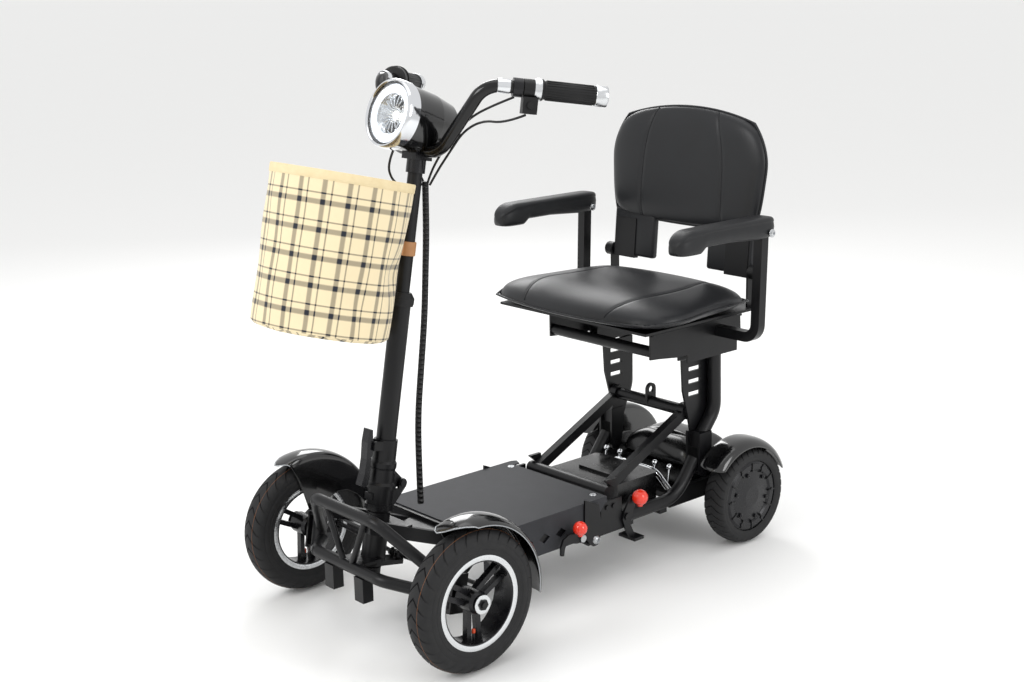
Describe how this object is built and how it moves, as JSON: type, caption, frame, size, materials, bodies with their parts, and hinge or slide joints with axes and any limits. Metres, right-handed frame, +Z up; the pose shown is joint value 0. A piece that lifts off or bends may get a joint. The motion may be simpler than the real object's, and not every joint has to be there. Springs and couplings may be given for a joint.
{
  "type": "mobility scooter",
  "caption": "Folding four-wheel mobility scooter with raked tiller, flat deck, round basket, headlamp and padded armchair seat",
  "frame": {"origin": "middle of the bounding box, on the ground", "axes": "+X to the rider's left, +Y to the rear, +Z up"},
  "size_m": [0.5752, 1.1142, 0.9873],
  "materials": {
    "frame_black": "matte",
    "deck_black": "textured",
    "bright_steel": "polished",
    "zinc": "satin",
    "alloy_black": "satin",
    "tyre_black": "matte",
    "gloss_black": "gloss",
    "matt_black": "matte",
    "rubber_black": "matte",
    "vinyl_black": "satin",
    "clear_lens": "clear",
    "basket_cloth": "woven",
    "strap_tan": "satin"
  },
  "bodies": {
    "chassis": {"front_frame": "frame_black", "deck_frame": "frame_black", "deck_plate": "deck_black", "chassis_fasteners": "zinc", "front_tray": "frame_black"},
    "frame_hook": {"frame_latch": "frame_black"},
    "steering": {"steering_stem": "frame_black", "tiller_hinge_base": "frame_black"},
    "knuckle_left": {"steering_knuckle_left": "frame_black", "front_fender_left": "gloss_black"},
    "front_wheel_left": {"front_tyre_left": "tyre_black", "front_rim_left": "alloy_black"},
    "tie_rod_left_body": {"tie_rod_left": "frame_black"},
    "knuckle_right": {"steering_knuckle_right": "frame_black", "front_fender_right": "gloss_black"},
    "front_wheel_right": {"front_tyre_right": "tyre_black", "front_rim_right": "alloy_black"},
    "tie_rod_right_body": {"tie_rod_right": "frame_black"},
    "tiller": {"tiller_hinge_casting": "frame_black", "tiller_tube": "frame_black", "tiller_collar": "matt_black", "wiring_loom": "rubber_black"},
    "tiller_lever": {"tiller_latch_lever": "alloy_black"},
    "mast": {"mast_tube": "frame_black", "handlebar": "alloy_black", "handlebar_clamp": "alloy_black", "headlamp_bucket": "matt_black", "headlamp_bezel": "bright_steel", "headlamp_lens": "clear_lens", "basket": "basket_cloth", "basket_strap": "strap_tan", "grip_left": "rubber_black", "switch_pod": "matt_black", "brake_perch": "alloy_black", "throttle_housing": "matt_black"},
    "brake_lever_body": {"brake_lever": "alloy_black"},
    "throttle": {"throttle_grip": "rubber_black"},
    "horn": {"horn_button": "matt_black"},
    "rear_module": {"rear_frame": "frame_black", "rear_axle": "zinc", "battery_case": "matt_black", "drive_housing": "matt_black", "drive_cover": "matt_black", "rear_fenders": "gloss_black", "guard_bar": "bright_steel"},
    "rear_wheel_left": {"rear_tyre_left": "tyre_black", "hub_motor_left": "alloy_black"},
    "rear_wheel_right": {"rear_tyre_right": "tyre_black", "hub_motor_right": "alloy_black"},
    "seat_pedal": {"seat_latch": "frame_black"},
    "seat_tower": {"seat_support": "frame_black", "seat_base": "frame_black", "armrest_posts": "frame_black"},
    "struts": {"strut_frame": "frame_black"},
    "seat": {"seat_pan": "frame_black", "seat_cushion": "vinyl_black"},
    "backrest": {"backrest_pad": "vinyl_black", "backrest_bracket": "frame_black"},
    "armrest_left_body": {"armrest_left": "vinyl_black"},
    "armrest_right_body": {"armrest_right": "vinyl_black"}
  },
  "joints": [
    {"name": "steer", "type": "hinge", "parent": "chassis", "child": "steering", "pos_m": [0, -0.34713, 0.17], "axis": [0, 0.1845, 0.9828], "range_deg": [-25, 25]},
    {"name": "knuckle_turn_left", "type": "hinge", "parent": "chassis", "child": "knuckle_left", "pos_m": [0.2, -0.33343, 0.1275], "axis": [0, 0.1845, 0.9828], "range_deg": [-25, 25]},
    {"name": "front_wheel_turn_left", "type": "hinge", "parent": "knuckle_left", "child": "front_wheel_left", "pos_m": [0.2506, -0.33343, 0.1275], "axis": [1, 0, 0], "continuous": true},
    {"name": "tie_rod_swing_left", "type": "hinge", "parent": "knuckle_left", "child": "tie_rod_left_body", "pos_m": [0.209, -0.28259, 0.12732], "axis": [0, 0.1845, 0.9828], "range_deg": [-25, 25]},
    {"name": "knuckle_turn_right", "type": "hinge", "parent": "chassis", "child": "knuckle_right", "pos_m": [-0.2, -0.33343, 0.1275], "axis": [0, 0.1845, 0.9828], "range_deg": [-25, 25]},
    {"name": "front_wheel_turn_right", "type": "hinge", "parent": "knuckle_right", "child": "front_wheel_right", "pos_m": [-0.2506, -0.33343, 0.1275], "axis": [1, 0, 0], "continuous": true},
    {"name": "tie_rod_swing_right", "type": "hinge", "parent": "knuckle_right", "child": "tie_rod_right_body", "pos_m": [-0.209, -0.28259, 0.12732], "axis": [0, 0.1845, 0.9828], "range_deg": [-25, 25]},
    {"name": "tiller_fold", "type": "hinge", "parent": "steering", "child": "tiller", "pos_m": [0, -0.29041, 0.26619], "axis": [1, 0, 0], "range_deg": [-27, 0]},
    {"name": "tiller_lever_swing", "type": "hinge", "parent": "tiller", "child": "tiller_lever", "pos_m": [0, -0.34255, 0.34618], "axis": [-1, 0, 0], "range_deg": [0, 22]},
    {"name": "mast_slide", "type": "slide", "parent": "tiller", "child": "mast", "axis": [0, 0.1845, 0.9828], "range_m": [-0.06, 0], "deforming": ["wiring_loom"]},
    {"name": "brake_lever_pull", "type": "hinge", "parent": "mast", "child": "brake_lever_body", "pos_m": [0.15324, -0.12293, 0.96324], "axis": [0.0093, -0.1701, -0.9854], "range_deg": [0, 9], "stiffness_Nm_per_rad": 0.9},
    {"name": "throttle_turn", "type": "hinge", "parent": "mast", "child": "throttle", "pos_m": [-0.23013, -0.05892, 0.95291], "axis": [-0.5374, 0.8318, -0.1386], "range_deg": [0, 45], "stiffness_Nm_per_rad": 0.25},
    {"name": "horn_press", "type": "slide", "parent": "mast", "child": "horn", "axis": [-0.8433, 0.5283, -0.0992], "range_m": [0, 0.002], "stiffness_N_per_m": 400},
    {"name": "frame_fold", "type": "hinge", "parent": "chassis", "child": "rear_module", "pos_m": [0, 0.06157, 0.097], "axis": [1, 0, 0], "range_deg": [-140, 0]},
    {"name": "frame_hook_swing", "type": "hinge", "parent": "chassis", "child": "frame_hook", "pos_m": [0.16, 0.01157, 0.118], "axis": [1, 0, 0], "range_deg": [0, 30]},
    {"name": "rear_wheel_turn_left", "type": "hinge", "parent": "rear_module", "child": "rear_wheel_left", "pos_m": [0.18, 0.45257, 0.1], "axis": [1, 0, 0], "continuous": true},
    {"name": "rear_wheel_turn_right", "type": "hinge", "parent": "rear_module", "child": "rear_wheel_right", "pos_m": [-0.18, 0.45257, 0.1], "axis": [1, 0, 0], "continuous": true},
    {"name": "seat_pedal_swing", "type": "hinge", "parent": "rear_module", "child": "seat_pedal", "pos_m": [0.145, 0.14657, 0.122], "axis": [1, 0, 0], "range_deg": [0, 20]},
    {"name": "seat_fold", "type": "hinge", "parent": "rear_module", "child": "seat_tower", "pos_m": [0, 0.37257, 0.162], "axis": [1, 0, 0], "range_deg": [0, 35]},
    {"name": "strut_swing", "type": "hinge", "parent": "seat_tower", "child": "struts", "pos_m": [0, 0.36657, 0.278], "axis": [1, 0, 0], "range_deg": [-63, 0]},
    {"name": "seat_slide", "type": "slide", "parent": "seat_tower", "child": "seat", "axis": [0, 1, 0], "range_m": [-0.03, 0.03]},
    {"name": "backrest_fold", "type": "hinge", "parent": "seat", "child": "backrest", "pos_m": [0, 0.45357, 0.564], "axis": [1, 0, 0], "range_deg": [0, 70]},
    {"name": "armrest_lift_left", "type": "hinge", "parent": "seat_tower", "child": "armrest_left_body", "pos_m": [0.244, 0.41857, 0.656], "axis": [-1, 0, 0], "range_deg": [0, 90]},
    {"name": "armrest_lift_right", "type": "hinge", "parent": "seat_tower", "child": "armrest_right_body", "pos_m": [-0.244, 0.41857, 0.656], "axis": [-1, 0, 0], "range_deg": [0, 90]}
  ],
  "couplings": [
    {"joint": "knuckle_turn_left", "follows": "steer", "ratio": 1},
    {"joint": "tie_rod_swing_left", "follows": "steer", "ratio": -1},
    {"joint": "knuckle_turn_right", "follows": "steer", "ratio": 1},
    {"joint": "tie_rod_swing_right", "follows": "steer", "ratio": -1},
    {"joint": "strut_swing", "follows": "seat_fold", "ratio": -1.8}
  ]
}
